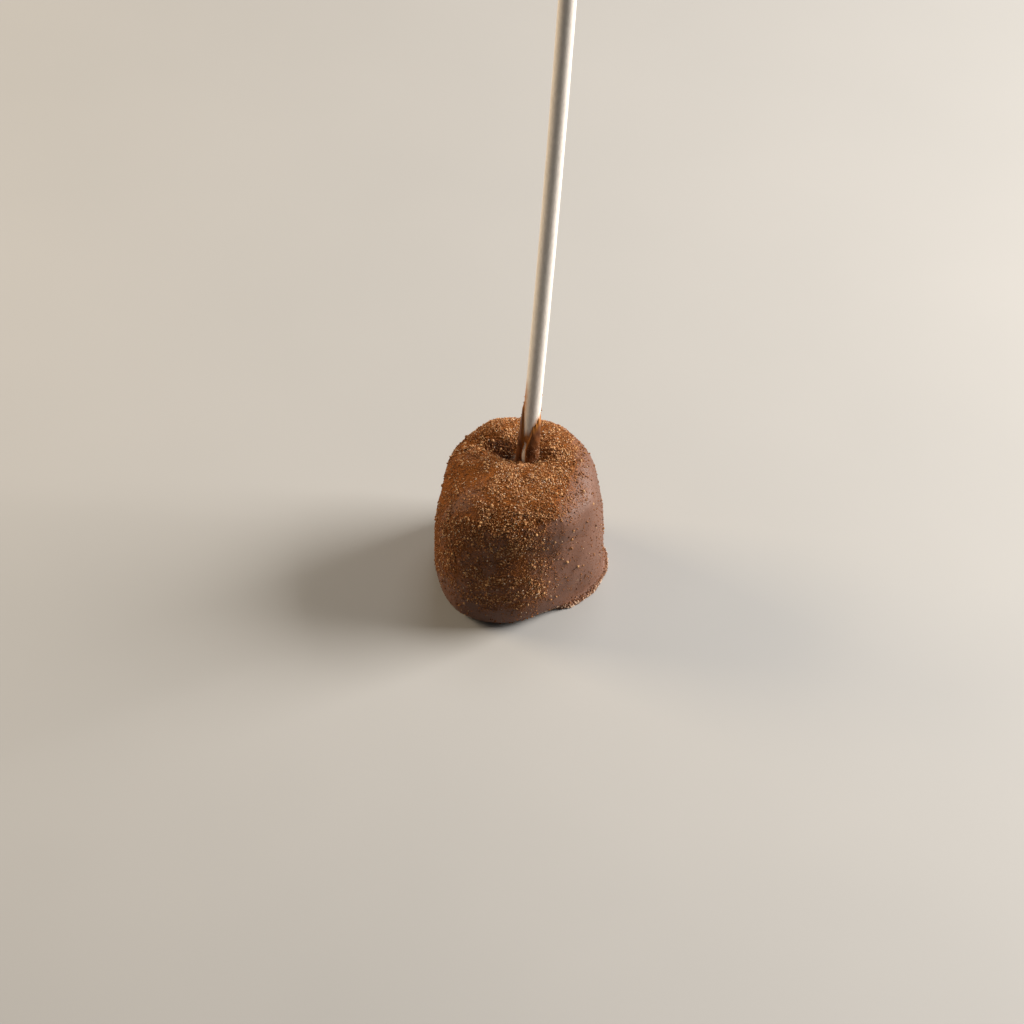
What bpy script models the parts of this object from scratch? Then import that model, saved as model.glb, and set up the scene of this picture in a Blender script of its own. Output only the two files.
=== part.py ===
"""A chocolate-coated marshmallow on a paper stick, dusted with coarse golden cocoa sugar.

Metres, +Z up, front towards -Y. The origin is the middle of the flat face it rests on.
Two pieces: the coated marshmallow, one solid with the chocolate that climbed the stick and
the largest crumbs fused on, and the paper stick, which sits in a blind socket in it.
"""

import math
import random

import bmesh
import bpy
from mathutils import Matrix, Vector, noise

MM = 0.001

# ---- driving dimensions -------------------------------------------------------------------
HEIGHT = 29.9 * MM  # floor to the general level of the top
BASE_RADIUS = 16.6 * MM  # mean radius of the wall near the floor
WALL_BULGE = 0.5 * MM  # how far the wall swells at mid-height
TOP_RADIUS = 15.9 * MM  # mean radius of the wall where the shoulder begins
SHOULDER = 5.2 * MM  # radius of the rounded upper edge
BASE_ROUNDING = 3.2 * MM  # radius of the rounded lower edge
FLAT_TOP = TOP_RADIUS - SHOULDER  # where the shoulder's curve starts
BODY_STEPS = 72  # facets round the body
TOP_RINGS, SHOULDER_RINGS, WALL_RINGS, FOOT_RINGS = 8, 7, 14, 6

STICK_RADIUS = 1.75 * MM
STICK_LENGTH = 150.0 * MM
STICK_DEPTH = 18.0 * MM  # how much of it is sunk in the marshmallow
STICK_ENTRY = Vector((2.1, 3.7, 29.0)) * MM  # where its centre line meets the coating
STICK_LEAN = Vector((0.059, 0.021))  # sideways travel for each unit of height
STICK_BOW = -0.077  # square term of its travel along X, per metre
STICK_SIDES = 24
STICK_POINTS = 16
GAP = 0.3 * MM  # clearance between the stick and its socket

# Corners of the rounded-square plan: direction, spread (degrees), push at floor, push at top.
CORNERS = (
    (12, 34, 1.9 * MM, 0.4 * MM),
    (62, 34, 0.5 * MM, 1.0 * MM),
    (122, 28, 1.0 * MM, 0.4 * MM),
    (178, 24, 0.3 * MM, -1.0 * MM),
    (-122, 33, 2.9 * MM, 0.3 * MM),
    (-52, 22, -1.0 * MM, 1.3 * MM),
    (-90, 30, 0.0 * MM, 1.5 * MM),
    (-147, 21, 0.0 * MM, 2.7 * MM),
    (-26, 18, 0.0 * MM, 1.0 * MM),
)

# Sloping sides of the top: direction, spread (degrees), radius where it starts, drop at the rim.
SLOPES = (
    (-155, 36, 5.5 * MM, 3.6 * MM),  # long slope down to the front left
    (-88, 34, 8.0 * MM, 2.0 * MM),
    (138, 26, 9.0 * MM, 1.6 * MM),
    (-28, 22, 9.5 * MM, 1.2 * MM),
)

# Mounds of the top: x, y, reach, height.
MOUNDS = (
    (-4.5 * MM, 11.4 * MM, 3.4 * MM, 1.3 * MM),  # rear lobe behind the fold
    (8.5 * MM, 6.5 * MM, 4.6 * MM, 0.8 * MM),  # dome to the right of the stick
    (-3.5 * MM, 1.6 * MM, 3.0 * MM, 0.4 * MM),  # lip in front of the fold
    (2.5 * MM, -6.0 * MM, 6.5 * MM, 0.4 * MM),  # broad front of the top
    (-4.0 * MM, -7.0 * MM, 3.4 * MM, 0.5 * MM),  # ridge at the head of the long slope
)
CRATER_REACH = 3.1 * MM  # dimple that the stick pulled into the coating
CRATER_DEPTH = 1.9 * MM
FOLD_START = Vector((1.2, 4.4)) * MM  # the fold runs from behind the stick
FOLD_END = Vector((-9.5, 7.0)) * MM  # to here, and fades out
FOLD_REACH = 1.9 * MM
FOLD_DEPTH = 2.9 * MM

# Dents of the wall: direction, spread (degrees), height, half height, depth.
DENTS = (
    (-82, 26, 20.0 * MM, 3.2 * MM, 1.2 * MM),  # waist under the front of the top
    (-38, 22, 20.5 * MM, 3.0 * MM, 0.6 * MM),  # hollow below the right-hand shoulder
    (-112, 12, 15.0 * MM, 8.0 * MM, 0.5 * MM),  # shallow trough beside the left corner
    (-84, 20, 10.5 * MM, 4.5 * MM, -0.6 * MM),  # belly of the front
    (180, 24, 13.0 * MM, 7.0 * MM, 0.3 * MM),
    (80, 30, 16.0 * MM, 6.0 * MM, 0.5 * MM),
)

FOOT_MIDDLE = -5  # direction of the crumbly foot's middle, degrees
FOOT_SPREAD = 52  # how far it runs to each side, degrees
FOOT_REACH = 0.9 * MM
FOOT_HEIGHT = 1.3 * MM
FOOT_RAGGED = 0.35 * MM

LUMP_SIZE = 6.5 * MM
LUMP_HEIGHT = 0.35 * MM
DUST_SIZE = 1.5 * MM
DUST_HEIGHT = 0.16 * MM  # grain of the dusted face

# Thick chocolate climbing the stick: direction, spread (degrees), height above the entry.
TONGUES = (
    (183, 52, 8.0 * MM),
    (-12, 66, 6.5 * MM),
    (85, 50, 5.0 * MM),
)
BARE_SLIT = -121  # direction where the stick shows down to its foot
BARE_SPREAD = 15
COLLAR_THICKNESS = 0.85 * MM  # from the stick's surface, at the foot
COLLAR_EDGE = 0.55 * MM  # the same at the upper edge
COLLAR_FLARE = 0.4 * MM  # extra at the very bottom, where it runs out into the dimple
COLLAR_ROOT = 3.2 * MM  # how far the collar reaches down into the body
COLLAR_STEPS = 36
COLLAR_RINGS = 7

CRUMB_COUNT = 88
CRUMB_RADIUS = (0.34 * MM, 0.52 * MM)
CRUMB_SPACING = 1.5 * MM
CRUMB_CLEARANCE = 4.2 * MM  # from the stick's centre line
SEED = 11


# ---- small helpers ------------------------------------------------------------------------
def smoothstep(low, high, x):
    t = min(max((x - low) / (high - low), 0.0), 1.0)
    return t * t * (3 - 2 * t)


def turn_from(angle, direction):
    """Degrees from a direction to an angle in radians, the short way round."""
    return (math.degrees(angle) - direction + 180) % 360 - 180


def lobe(offset, reach):
    """A bell of height 1 whose value falls to 1/e at its reach."""
    return math.exp(-((offset / reach) ** 2))


def clear_scene():
    for obj in list(bpy.data.objects):
        bpy.data.objects.remove(obj, do_unlink=True)


def new_collection(name):
    collection = bpy.data.collections.new(name)
    bpy.context.scene.collection.children.link(collection)
    return collection


def new_material(name, colour, roughness):
    material = bpy.data.materials.new(name)
    material.use_nodes = True
    shader = material.node_tree.nodes["Principled BSDF"]
    shader.inputs["Base Color"].default_value = (*colour, 1)
    shader.inputs["Roughness"].default_value = roughness
    shader.inputs["Metallic"].default_value = 0.0
    material.diffuse_color = (*colour, 1)
    return material


def as_mesh(obj, collection):
    """The object with its modifiers applied, as a plain mesh object that takes its place."""
    graph = bpy.context.evaluated_depsgraph_get()
    mesh = bpy.data.meshes.new_from_object(obj.evaluated_get(graph))
    name = obj.name
    matrix = obj.matrix_world.copy()
    bpy.data.objects.remove(obj, do_unlink=True)
    plain = bpy.data.objects.new(name, mesh)
    plain.matrix_world = matrix
    collection.objects.link(plain)
    return plain


def turned(name, profile, steps, collection):
    """A profile of (radius, height) pairs, top to bottom, turned about Z into a closed mesh."""
    mesh = bpy.data.meshes.new(name)
    points = [(radius, 0, height) for radius, height in profile]
    mesh.from_pydata(points, [(i, i + 1) for i in range(len(points) - 1)], [])
    obj = bpy.data.objects.new(name, mesh)
    collection.objects.link(obj)
    screw = obj.modifiers.new("Turn", "SCREW")
    screw.steps = steps
    screw.render_steps = steps
    screw.use_merge_vertices = True
    screw.merge_threshold = 0.00001
    bpy.context.view_layer.update()
    return as_mesh(obj, collection)


def boolean(obj, operation, collection, other=None, others=None):
    modifier = obj.modifiers.new(operation.title(), "BOOLEAN")
    modifier.operation = operation
    modifier.solver = "EXACT"
    if others is None:
        modifier.object = other
    else:
        modifier.operand_type = "COLLECTION"
        modifier.collection = others
    bpy.context.view_layer.update()
    return as_mesh(obj, collection)


# ---- the stick's line ---------------------------------------------------------------------
def stick_centre(height):
    """Point of the stick's centre line at a height above the floor."""
    rise = height - STICK_ENTRY.z
    return Vector(
        (
            STICK_ENTRY.x + STICK_LEAN.x * rise + STICK_BOW * rise**2,
            STICK_ENTRY.y + STICK_LEAN.y * rise,
            height,
        )
    )


def stick_frame(height):
    """Matrix that carries the Z axis onto the stick's centre line at a height."""
    step = 1 * MM
    along = (stick_centre(height + step) - stick_centre(height - step)).normalized()
    side = Vector((0, 1, 0)).cross(along).normalized()
    matrix = Matrix((side, along.cross(side), along)).transposed().to_4x4()
    matrix.translation = stick_centre(height)
    return matrix


# ---- the coated marshmallow ---------------------------------------------------------------
def body_profile():
    """Half outline of the body, from the middle of the top to the middle of the base."""
    points = [(FLAT_TOP * i / TOP_RINGS, HEIGHT) for i in range(TOP_RINGS)]
    for i in range(SHOULDER_RINGS):
        angle = math.pi / 2 * (1 - i / SHOULDER_RINGS)
        radius = FLAT_TOP + SHOULDER * math.cos(angle)
        points.append((radius, HEIGHT - SHOULDER + SHOULDER * math.sin(angle)))
    wall_top = HEIGHT - SHOULDER
    wall_foot = BASE_ROUNDING
    for i in range(WALL_RINGS):
        t = i / (WALL_RINGS - 1)
        radius = TOP_RADIUS + (BASE_RADIUS - TOP_RADIUS) * t
        radius += WALL_BULGE * 4 * t * (1 - t)
        points.append((radius, wall_top + (wall_foot - wall_top) * t))
    for i in range(1, FOOT_RINGS + 1):
        angle = math.pi / 2 * i / FOOT_RINGS
        radius = BASE_RADIUS - BASE_ROUNDING * (1 - math.cos(angle))
        points.append((radius, BASE_ROUNDING * (1 - math.sin(angle))))
    points.append((0.0, 0.0))
    return points


def plan_push(angle, height):
    """How far the plan's rounded corners push the wall out at a height."""
    share = height / HEIGHT
    return sum(
        lobe(turn_from(angle, direction), spread) * (low + (high - low) * share)
        for direction, spread, low, high in CORNERS
    )


def wall_dent(angle, height):
    return sum(
        lobe(turn_from(angle, direction), spread) * lobe(height - middle, half) * depth
        for direction, spread, middle, half, depth in DENTS
    )


def foot_share(angle):
    """1 in the middle of the crumbly foot, 0 where the lower edge is rounded and clean."""
    away = abs(turn_from(angle, FOOT_MIDDLE))
    return 1 - smoothstep(FOOT_SPREAD * 0.75, FOOT_SPREAD * 1.15, away)


def foot_push(angle, height):
    """Thin ragged rim of set chocolate round the foot of the right-hand side."""
    share = foot_share(angle)
    ragged = noise.noise(Vector((math.cos(angle), math.sin(angle), 0.3)) * 9)
    reach = FOOT_REACH + FOOT_RAGGED * ragged
    tuck = BASE_ROUNDING - math.sqrt(
        max(BASE_ROUNDING**2 - (BASE_ROUNDING - min(height, BASE_ROUNDING)) ** 2, 0)
    )
    rim = 1 - smoothstep(FOOT_HEIGHT * 0.45, FOOT_HEIGHT, height)
    return share * (tuck + reach * rim)


def fold_distance(x, y):
    """Distance from the fold's line, and how far along it (0 at its start, 1 at its end)."""
    line = FOLD_END - FOLD_START
    along = (Vector((x, y)) - FOLD_START).dot(line) / line.length_squared
    along = min(max(along, 0.0), 1.0)
    return (Vector((x, y)) - FOLD_START - line * along).length, along


def top_relief(x, y):
    """Height of the mounds, the dimple round the stick and the fold beside it."""
    rise = sum(
        lobe(math.hypot(x - mx, y - my), reach) * height
        for mx, my, reach, height in MOUNDS
    )
    from_stick = math.hypot(x - STICK_ENTRY.x, y - STICK_ENTRY.y)
    away, along = fold_distance(x, y)
    fold = FOLD_DEPTH * (1 - 0.6 * along) * lobe(away, FOLD_REACH)
    dimple = CRATER_DEPTH * lobe(from_stick, CRATER_REACH)
    return rise - max(fold, dimple)


def slope_drop(angle, radius, height):
    """How far the top's margin hangs down, easing away to nothing at half height."""
    share = max(2 * height / HEIGHT - 1, 0)
    return share * sum(
        lobe(turn_from(angle, direction), spread) * smoothstep(start, TOP_RADIUS, radius) * drop
        for direction, spread, start, drop in SLOPES
    )


def dust_cover(point, normal):
    """How thickly a spot of the coating is dusted, 0 to 1: the top, the front and the left."""
    angle = math.atan2(point.y, point.x)
    up = smoothstep(0.25, 0.8, normal.z)
    front = lobe(turn_from(angle, -100), 42) * smoothstep(3 * MM, 9 * MM, point.z)
    left = lobe(turn_from(angle, 170), 48) * smoothstep(9 * MM, 15 * MM, point.z)
    back = lobe(turn_from(angle, 95), 40) * smoothstep(12 * MM, 20 * MM, point.z)
    return min(up + 0.75 * front + 0.7 * left + 0.6 * back, 1.0)


def shaped(point):
    """Where a point of the turned body goes: the plan, dents, foot, top relief and lumps."""
    radius = math.hypot(point.x, point.y)
    if point.z < 0.01 * MM and radius < BASE_RADIUS - BASE_ROUNDING - 0.1 * MM:
        return point.copy()
    angle = math.atan2(point.y, point.x)
    share = min(radius / FLAT_TOP, 1.0) if point.z > HEIGHT / 2 else 1.0
    push = (plan_push(angle, point.z) - wall_dent(angle, point.z)) * share
    push += foot_push(angle, point.z)
    outward = Vector((math.cos(angle), math.sin(angle), 0)) if radius else Vector()
    centring = Vector((STICK_ENTRY.x, STICK_ENTRY.y, 0)) * (1 - share)
    moved = point + outward * push + centring
    rim = smoothstep(HEIGHT - SHOULDER, HEIGHT - 0.3 * SHOULDER, point.z)
    moved.z += top_relief(moved.x, moved.y) * rim - slope_drop(angle, radius, point.z)
    return moved


def roughened(point, normal):
    """Soft lumps of the hand-dipped coating, with a finer grain where it is dusted."""
    clear = smoothstep(0.0, 2.0 * MM, point.z)
    lumps = noise.noise(point / LUMP_SIZE) * LUMP_HEIGHT
    dust = noise.noise(point / DUST_SIZE) * DUST_HEIGHT * dust_cover(point, normal)
    return point + normal * (lumps + dust) * clear


def make_body(collection):
    body = turned("body", body_profile(), BODY_STEPS, collection)
    for vertex in body.data.vertices:
        vertex.co = shaped(vertex.co)
    body.data.update()
    normals = [vertex.normal.copy() for vertex in body.data.vertices]
    for vertex, normal in zip(body.data.vertices, normals):
        vertex.co = roughened(vertex.co, normal)
    return body


def collar_height(angle):
    """How high the chocolate climbs the stick in a direction."""
    tallest = max(
        height * lobe(turn_from(angle, direction), spread)
        for direction, spread, height in TONGUES
    )
    slit = lobe(turn_from(angle, BARE_SLIT), BARE_SPREAD)
    return tallest * (1 - slit) + 0.4 * MM


def make_collar(collection):
    """Sleeve of chocolate round the stick, tallest on the left, with a bare slit in front."""
    outer = STICK_RADIUS + COLLAR_THICKNESS
    profile = [(0, 1), (STICK_RADIUS * 0.8, 1)]
    profile += [(outer, 1 - i / COLLAR_RINGS) for i in range(COLLAR_RINGS + 1)]
    profile += [(0, 0)]
    collar = turned("collar", profile, COLLAR_STEPS, collection)
    for vertex in collar.data.vertices:
        angle = math.atan2(vertex.co.y, vertex.co.x)
        rise = vertex.co.z * (COLLAR_ROOT + collar_height(angle)) - COLLAR_ROOT
        radius = math.hypot(vertex.co.x, vertex.co.y)
        if radius > STICK_RADIUS:
            thinner = (COLLAR_THICKNESS - COLLAR_EDGE) * smoothstep(0.3, 1.0, vertex.co.z)
            flare = COLLAR_FLARE * (1 - smoothstep(-1 * MM, 2.5 * MM, rise))
            radius += flare - thinner
        spot = Vector((math.cos(angle) * radius, math.sin(angle) * radius, 0))
        vertex.co = stick_frame(STICK_ENTRY.z + rise) @ spot
    return collar


def crumb_spots(body):
    """Seeded places for the largest crumbs, thick where the coating is dusted, never touching."""
    draw = random.Random(SEED)
    faces = [face for face in body.data.polygons if face.center.z > 1.8 * MM]
    weights = [face.area * (0.06 + dust_cover(face.center, face.normal)) for face in faces]
    spots = []
    while len(spots) < CRUMB_COUNT:
        face = draw.choices(faces, weights)[0]
        axis = stick_centre(face.center.z)
        if (face.center - axis).length < CRUMB_CLEARANCE:
            continue
        if all((face.center - spot).length > CRUMB_SPACING for spot, _ in spots):
            spots.append((face.center.copy(), face.normal.copy()))
    return spots


def make_crumbs(body, collection):
    draw = random.Random(SEED + 1)
    sizes = sorted((draw.uniform(*CRUMB_RADIUS) for _ in range(CRUMB_COUNT)), reverse=True)
    for index, (spot, normal) in enumerate(crumb_spots(body)):
        mesh = bpy.data.meshes.new("crumb")
        shape = bmesh.new()
        bmesh.ops.create_icosphere(shape, subdivisions=1, radius=sizes[index])
        turn = Matrix.Rotation(draw.uniform(0, math.tau), 3, Vector((draw.uniform(-1, 1), 0, 1)))
        for vertex in shape.verts:
            vertex.co *= draw.uniform(0.82, 1.12)
            vertex.co = turn @ vertex.co + spot + normal * sizes[index] * 0.3
        shape.to_mesh(mesh)
        shape.free()
        collection.objects.link(bpy.data.objects.new("crumb", mesh))


def make_stick(collection, name, radius, low, high):
    """A round rod along the stick's centre line between two heights, as a closed mesh."""
    curve = bpy.data.curves.new(name, "CURVE")
    curve.dimensions = "3D"
    curve.bevel_depth = radius
    curve.bevel_resolution = (STICK_SIDES - 4) // 2
    curve.use_fill_caps = True
    spline = curve.splines.new("POLY")
    spline.points.add(STICK_POINTS - 1)
    for index, point in enumerate(spline.points):
        height = low + (high - low) * index / (STICK_POINTS - 1)
        point.co = (*stick_centre(height), 1)
    rod = bpy.data.objects.new(name, curve)
    collection.objects.link(rod)
    bpy.context.view_layer.update()
    rod = as_mesh(rod, collection)
    shape = bmesh.new()
    shape.from_mesh(rod.data)
    bmesh.ops.remove_doubles(shape, verts=shape.verts, dist=0.00001)
    bmesh.ops.recalc_face_normals(shape, faces=shape.faces)
    shape.to_mesh(rod.data)
    shape.free()
    return rod


def finish(obj, material, sharp_degrees):
    obj.data.materials.clear()
    obj.data.materials.append(material)
    obj.data.shade_smooth()
    obj.data.set_sharp_from_angle(angle=math.radians(sharp_degrees))


def make_marshmallow(parts, cutters):
    body = make_body(parts)
    toppings = new_collection("toppings")
    make_crumbs(body, toppings)
    make_collar(toppings)
    body = boolean(body, "UNION", parts, others=toppings)
    for obj in list(toppings.objects):
        bpy.data.objects.remove(obj, do_unlink=True)
    bpy.data.collections.remove(toppings)
    bottom = STICK_ENTRY.z - STICK_DEPTH - GAP
    top = STICK_ENTRY.z + max(height for _, _, height in TONGUES) + 4 * MM
    socket = make_stick(cutters, "socket", STICK_RADIUS + GAP, bottom, top)
    body = boolean(body, "DIFFERENCE", parts, other=socket)
    bpy.data.objects.remove(socket, do_unlink=True)
    body.name = "coated_marshmallow"
    return body


def main():
    clear_scene()
    parts = new_collection("chocolate_coated_marshmallow")
    cutters = new_collection("cutters")
    chocolate = new_material("milk chocolate", (0.105, 0.042, 0.019), 0.5)
    paper = new_material("white paper", (0.78, 0.75, 0.71), 0.75)
    finish(make_marshmallow(parts, cutters), chocolate, 50)
    low = STICK_ENTRY.z - STICK_DEPTH
    stick = make_stick(parts, "paper_stick", STICK_RADIUS, low, low + STICK_LENGTH)
    finish(stick, paper, 40)


main()
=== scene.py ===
"""Looks of the chocolate-coated marshmallow on its paper stick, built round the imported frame."""

import math

import bmesh
import bpy
import numpy as np
from mathutils import Matrix, Vector, noise


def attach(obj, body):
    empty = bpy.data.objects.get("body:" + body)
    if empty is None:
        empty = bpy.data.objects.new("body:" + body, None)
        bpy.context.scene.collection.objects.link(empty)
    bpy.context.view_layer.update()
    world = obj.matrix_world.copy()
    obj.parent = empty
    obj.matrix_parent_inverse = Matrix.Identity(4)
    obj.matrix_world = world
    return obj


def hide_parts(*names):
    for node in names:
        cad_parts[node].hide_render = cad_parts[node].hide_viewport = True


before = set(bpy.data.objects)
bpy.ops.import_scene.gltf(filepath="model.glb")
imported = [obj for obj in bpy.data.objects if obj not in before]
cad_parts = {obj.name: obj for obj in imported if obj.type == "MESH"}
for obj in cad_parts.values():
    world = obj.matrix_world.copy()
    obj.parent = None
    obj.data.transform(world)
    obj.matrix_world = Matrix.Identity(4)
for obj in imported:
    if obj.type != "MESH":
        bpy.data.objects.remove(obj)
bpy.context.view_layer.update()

MM = 0.001
COAT = "coated_marshmallow"
STICK = "paper_stick"

# Measures are in metres and directions in degrees, round +Z from +X, unless said otherwise.
FRONT = -90
LEFT = 180
BACK = 95
RIGHT = -5
LEFT_CORNER = -130  # between the front and the left side

# ---- the stick and the skin of the coating -----------------------------------------------------
STICK_RADIUS = 1.75 * MM
ENTRY_HEIGHT = 29.0 * MM  # where the stick's centre line meets the coating
PLUG_RADIUS = 3.3 * MM  # the collar and socket inside this reach are closed and remade
PLUG_LOWEST = 5 * MM  # and only above this height
WELD_REACH = 0.005 * MM  # corners closer than this are one
SKIN_GRID = 0.28 * MM  # size of the fine skin's faces
SOFT_ROUNDS = 14  # of smoothing there and back
FLAT_ROUNDS = 22  # of smoothing one way
PEAK_LEAST = 0.17 * MM  # how far the tip of a largest crumb stands out at least
PEAK_SPACING = 1.1 * MM
PEAK_LOWEST = 2.2 * MM
PEAK_CLEARANCE = 0.6 * MM  # from the closed collar
PEAK_REACH = 1.0 * MM  # how far round a tip the skin is flattened

TOP_LOWEST = 20 * MM  # the dimple and the fold are pressed into the part above this
DIMPLE_DEPTH = 1.9 * MM
DIMPLE_REACH = 2.5 * MM
FOLD_HEAD = (1.2 * MM, 4.0 * MM)  # the fold runs from behind the stick
FOLD_FOOT = (-8.5 * MM, 6.3 * MM)  # to here
FOLD_DEPTH = 2.1 * MM
FOLD_REACH = 2.2 * MM  # of its gentle front side
FOLD_STEEP = 1.1 * MM  # of its steep rear side
FOLD_WEAKENING = 0.75  # share of its depth that is gone at its foot
FOLD_FADE = 0.7  # share of the way along at which it starts to run out
LIP_PLACE = -2.9 * MM  # the worn lip in front of the fold
LIP_DROP = 0.6 * MM
LIP_REACH = 1.7 * MM
FOLD_SHADE_FRONT = -2.6 * MM  # the fold's painted shade starts here, in front of its line
FLOOR_SNAP = 0.12 * MM  # lower points are set on the floor

# Bumps of the skin: size, seed and height, sizes and heights in mm.
FINE_BUMPS = (0.75, 2, 0.09)  # where it is dusted
COARSE_BUMPS = (1.6, 3, 0.09)  # where it is dusted
BROAD_BUMPS = (4.0, 4, 0.10)  # everywhere

# ---- the dusting -------------------------------------------------------------------------------
# Patches of the wall: share, direction, spread, and the heights in mm over which each comes in.
LEFT_GRAINS = (0.12, LEFT, 40, 6, 13)
BACK_GRAINS = (0.55, BACK, 45, 10, 20)
CORNER_GRAINS = (0.5, LEFT_CORNER, 32, 3, 12)
LEFT_POWDER = (1.0, LEFT + 6, 36, 0, 16)
BELLY_POWDER = (0.55, FRONT, 26, 2, 9)
CORNER_POWDER = (0.6, LEFT_CORNER, 38, 3, 14)
POWDERED = 0.55  # share of powder above which a face takes the matt finish

SEEDS = {"foot_crumbs": 31, "set_crumbs": 41, "stick_crumbs": 51}
FOOT_CRUMB_COUNT = 2300
FOOT_HEIGHTS = (0.15 * MM, 1.5 * MM)  # between which the foot's rim lies
SLEEVE_CRUMB_COUNT = 520
SET_CRUMB_SIZES = (0.26, 0.40)  # in mm
INNER_POINT = np.array([0, 0, 14 * MM])  # which the largest crumbs sink towards

# Crumbs stuck to the stick: direction, then height above the entry, distance out and size in mm.
STUCK_CRUMBS = (
    (4, 16.9, 0.08, 0.16),
    (-6, 17.4, 0.04, 0.10),
    (0, 12.9, 0.12, 0.19),
    (8, 12.0, 0.10, 0.15),
    (-4, 13.6, 0.06, 0.11),
    (176, 16.3, 0.08, 0.12),
    (184, 15.0, 0.12, 0.14),
    (178, 13.2, 0.22, 0.13),
    (186, 11.6, 0.28, 0.15),
)
# Crumbs alone on the bare side of the coating: direction, then height and size in mm.
LONE_CRUMBS = (
    (-37, 11.3, 0.25),
    (-38, 8.1, 0.15),
    (-61, 9.3, 0.27),
    (-62, 13.4, 0.17),
    (-48, 6.0, 0.14),
    (-55, 16.5, 0.15),
)

# ---- the chocolate up the stick ----------------------------------------------------------------
LEFT_TONGUE = (185, 42, 15.8 * MM)  # direction, spread, height of the chocolate up the stick
RIGHT_TONGUE = (-10, 118, 11.2 * MM)
SOAKED = (-112, 76, 7.4 * MM)  # how high the paper between the two is stained, over the slit
SLIT = (-124, 15, 4.8 * MM)  # direction, half width and height of the bare slit
SLIT_BLUR = 30  # degrees over which the slit's sides fade
SLEEVE_LOW = 3.0 * MM  # how deep the sleeve starts in the dimple
SLEEVE_HIGH = 21 * MM
SLEEVE_GRID = (132, 120)  # steps round it and up it
FILM_EDGE = 1.8 * MM  # over this height the film thins out to its edge
SUNK = -0.15 * MM  # where the film has ended, its skin lies this deep in the paper
STICK_GRID = (72, 200)  # steps round it and up it
END_ROUNDING = 0.12 * MM
END_REACH = 0.3 * MM
SEAM_DEPTH = 0.03 * MM
SEAM_START = 40
SEAM_TWIST = 900  # degrees a metre
PAPER_INSET = 0.02 * MM  # keeps the paper just inside the solid stick

# ---- colours, as linear red, green and blue ----------------------------------------------------
MILK_CHOCOLATE = (0.160, 0.074, 0.046)
DARK_CHOCOLATE = (0.085, 0.032, 0.016)
# dark of the pinholes and flecks, and also the painted shade in the fold
PINHOLE_AND_FOLD_SHADE = (0.055, 0.020, 0.010)
POWDER = (0.300, 0.094, 0.015)
POWDER_SHADE = (0.090, 0.028, 0.007)
SLEEVE_DARK = (0.050, 0.015, 0.005)
SLEEVE_LIGHT = (0.130, 0.042, 0.011)
STAIN = (0.330, 0.115, 0.014)
PAPER = (0.715, 0.660, 0.602)
PAPER_SHADE = (0.58, 0.53, 0.475)
FLOOR_DARK = (0.325, 0.322, 0.315)
FLOOR_LIGHT = (0.345, 0.340, 0.332)

# Colours of each kind of grain, from the darkest tint at 0 to the lightest at 1.
GRAIN_COLOURS = {
    "golden_grains": (
        (0.0, (0.18, 0.062, 0.018)),
        (0.6, (0.38, 0.150, 0.046)),
        (1.0, (0.68, 0.39, 0.18)),
    ),
    "fine_grains": (
        (0.0, (0.14, 0.042, 0.009)),
        (0.7, (0.34, 0.13, 0.034)),
        (1.0, (0.52, 0.26, 0.105)),
    ),
    "powder_specks": (
        (0.0, (0.20, 0.060, 0.007)),
        (1.0, (0.42, 0.160, 0.030)),
    ),
    "pale_crystals": (
        (0.0, (0.50, 0.31, 0.17)),
        (1.0, (0.88, 0.72, 0.55)),
    ),
    "dark_crumbs": (
        (0.0, (0.06, 0.02, 0.007)),
        (1.0, (0.15, 0.052, 0.016)),
    ),
    "large_crumbs": (
        (0.0, (0.24, 0.095, 0.03)),
        (1.0, (0.58, 0.32, 0.14)),
    ),
    "set_crumbs": (
        (0.0, (0.20, 0.085, 0.035)),
        (1.0, (0.50, 0.28, 0.13)),
    ),
    "stick_crumbs": (
        (0.0, (0.16, 0.060, 0.025)),
        (1.0, (0.50, 0.29, 0.17)),
    ),
    "foot_crumbs": (
        (0.0, (0.11, 0.038, 0.014)),
        (0.3, (0.20, 0.082, 0.036)),
        (0.8, (0.78, 0.58, 0.42)),
    ),
}
GRAIN_ROUGHNESS = 0.7
CRYSTAL_ROUGHNESS = 0.35
BARE_GLOSS = 0.38
POWDERED_GLOSS = 0.12

# ---- camera, light and floor -------------------------------------------------------------------
CAMERA_TILT = 46  # degrees above the horizon
CAMERA_ROLL = 0.81
CAMERA_LENS = 144.14  # in mm
CAMERA_SENSOR = 36  # width in mm
CAMERA_DISTANCE = 0.86
CAMERA_REACH = (0.01, 10)  # nearest and farthest that it sees
CAMERA_SHIFT = (-0.965 * MM, 11.14 * MM)  # where it aims, right of and above the foot's middle

# Lights: name, place, side, power in watts and colour.
LIGHTS = (
    ("key", (0.63, 0.13, 0.34), 0.40, 14.6, (1.0, 0.95, 0.89)),
    ("left", (-0.54, 0.20, 0.24), 0.25, 3.7, (1.0, 0.81, 0.57)),
    ("top", (0.1, 0.30, 0.60), 0.30, 1.1, (1.0, 0.97, 0.94)),
)
LIGHT_AIM = Vector((0, 0, 0.02))
SKY_COLOUR = (1.0, 0.96, 0.92, 1)
SKY_STRENGTH = 0.09
FLOOR_HALF_SIDE = 2.5


# ---- small helpers -----------------------------------------------------------------------------
def smoothstep(low, high, x):
    """0 up to low, 1 from high on, and a smooth rise between them."""
    t = np.clip((x - low) / (high - low), 0.0, 1.0)
    return t * t * (3 - 2 * t)


def lobe(offset, reach):
    """A soft bump: 1 in its middle, about a third at its reach."""
    return np.exp(-((offset / reach) ** 2))


def turn_from(angle, direction):
    """Degrees from a direction to an angle in radians, the short way round."""
    return (np.degrees(angle) - direction + 180) % 360 - 180


def noise_at(points, size, seed=0.0):
    """Smooth noise from -1 to 1 at each point, with blobs of about a size."""
    shift = Vector((seed, seed * 0.7, -seed))
    return np.array([noise.noise(Vector(p) / size + shift) for p in points])


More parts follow.
